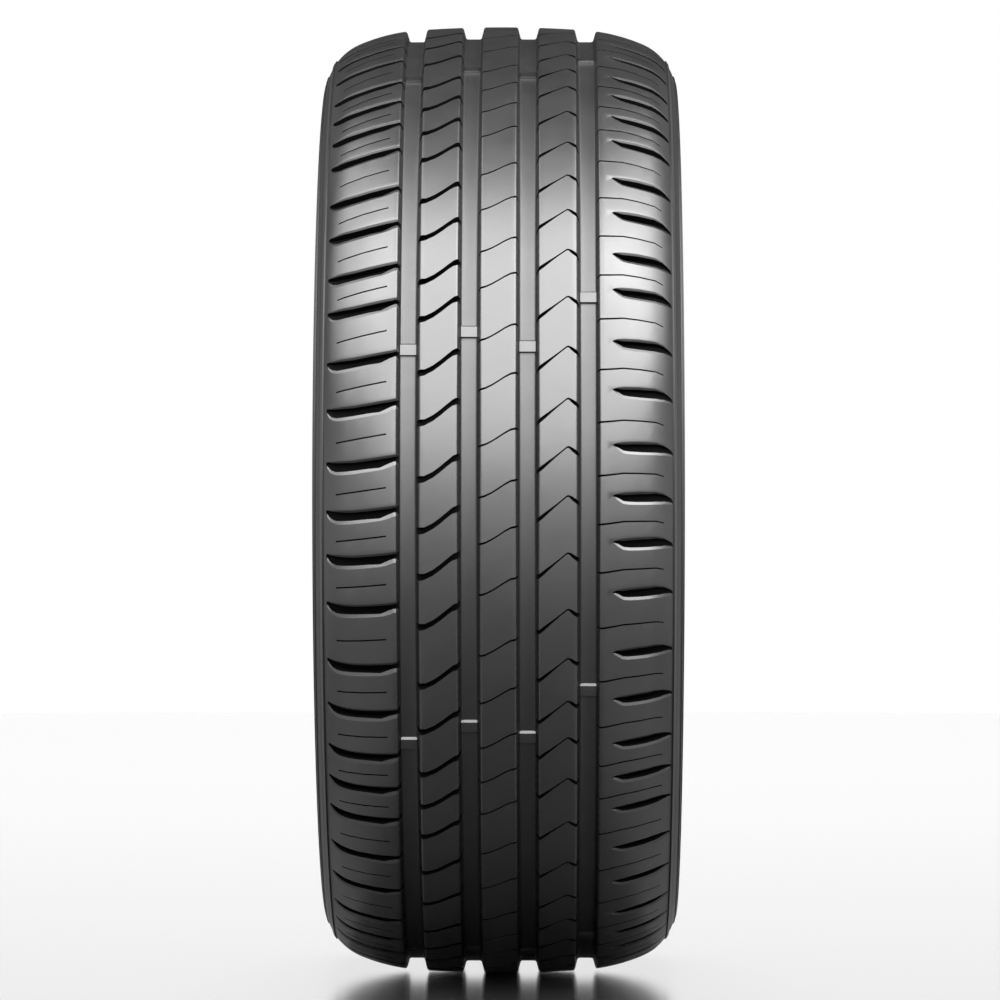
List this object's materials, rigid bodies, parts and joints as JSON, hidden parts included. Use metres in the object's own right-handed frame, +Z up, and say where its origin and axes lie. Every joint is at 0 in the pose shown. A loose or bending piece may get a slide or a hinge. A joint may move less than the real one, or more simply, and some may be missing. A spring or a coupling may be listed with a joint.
{
  "type": "car tyre",
  "caption": "Low-profile radial car tyre with an asymmetric road tread: ribs between straight main grooves, cross slots and open shoulder slots, on plain sidewalls.",
  "frame": {"origin": "wheel centre: on the spin axis, in the tyre's middle plane", "axes": "+Y along the spin axis, out of the side with the wide shoulder slots that do not reach a groove; +X out of the tread; +Z up"},
  "size_m": [0.644, 0.2376, 0.6438],
  "materials": {
    "tyre": "satin black moulded rubber"
  },
  "bodies": {
    "root": {"tyre": "tyre"}
  },
  "joints": []
}
